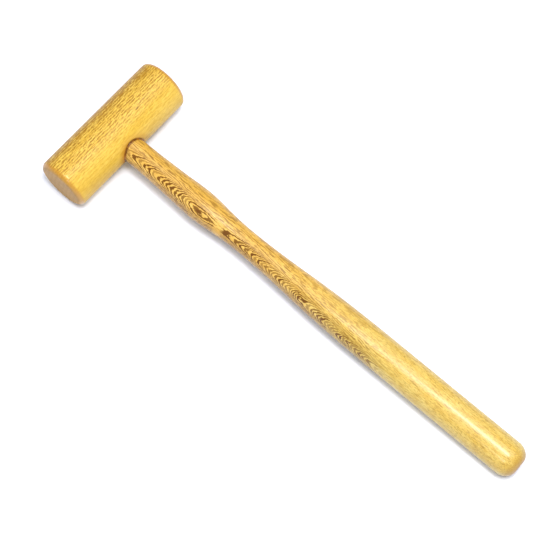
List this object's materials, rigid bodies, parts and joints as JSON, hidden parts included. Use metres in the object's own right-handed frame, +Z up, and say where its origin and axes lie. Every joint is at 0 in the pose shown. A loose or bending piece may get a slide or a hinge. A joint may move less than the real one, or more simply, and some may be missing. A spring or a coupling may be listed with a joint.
{
  "type": "carving mallet",
  "caption": "Small wooden carving mallet: a round head with softly rounded ends on a turned handle with a swelling, a waist and a thicker straight grip; the wedged tenon goes through the head.",
  "frame": {"origin": "on the bench, under the middle of the mallet's bounding box as it lies on its side", "axes": "+X along the handle from the head towards the butt, +Y along the head from one striking face to the other, +Z up from the bench; the handle points down by about 1.15 degrees because the head is thicker than the grip"},
  "size_m": [0.369, 0.104, 0.038],
  "materials": {
    "head_wood": "clear lacquer, satin to gloss, grain along the head",
    "handle_wood": "clear lacquer, gloss, grain along the handle",
    "wedge_wood": "darker hardwood, trimmed flush and lacquered with the head"
  },
  "bodies": {
    "root": {"mallet_head": "head_wood", "handle": "handle_wood", "handle_wedge": "wedge_wood"}
  },
  "joints": []
}
